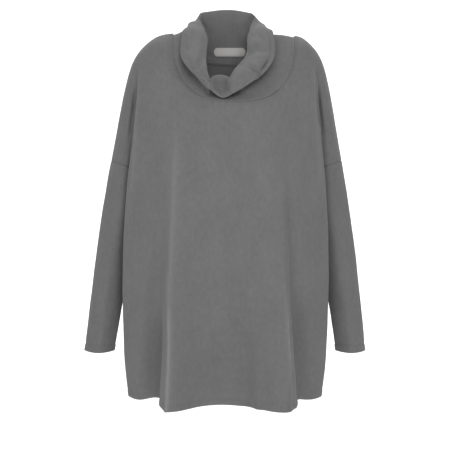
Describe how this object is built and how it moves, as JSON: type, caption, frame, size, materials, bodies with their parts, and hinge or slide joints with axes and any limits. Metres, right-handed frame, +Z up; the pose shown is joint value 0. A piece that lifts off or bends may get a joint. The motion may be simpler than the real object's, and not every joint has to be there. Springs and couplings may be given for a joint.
{
  "type": "fleece jumper",
  "caption": "Oversized fleece jumper with dropped shoulders, long sleeves and a folded-over cowl collar, hollow and filled out as if worn.",
  "frame": {"origin": "the mount wearer_shoulders: midway between the wearer's shoulders, on the line of the shoulder seams and at mid-depth", "axes": "+X across the jumper towards the picture's right, +Y from its front to its back, +Z up along the wearer's body"},
  "size_m": [0.5982, 0.3266, 0.8174],
  "materials": {
    "fleece": "brushed matte fleece",
    "label_tape": "woven matte tape"
  },
  "bodies": {
    "root": {"front_panel": "fleece", "back_panel": "fleece", "sleeve_left": "fleece", "sleeve_right": "fleece", "collar": "fleece", "neck_label": "label_tape"}
  },
  "joints": []
}
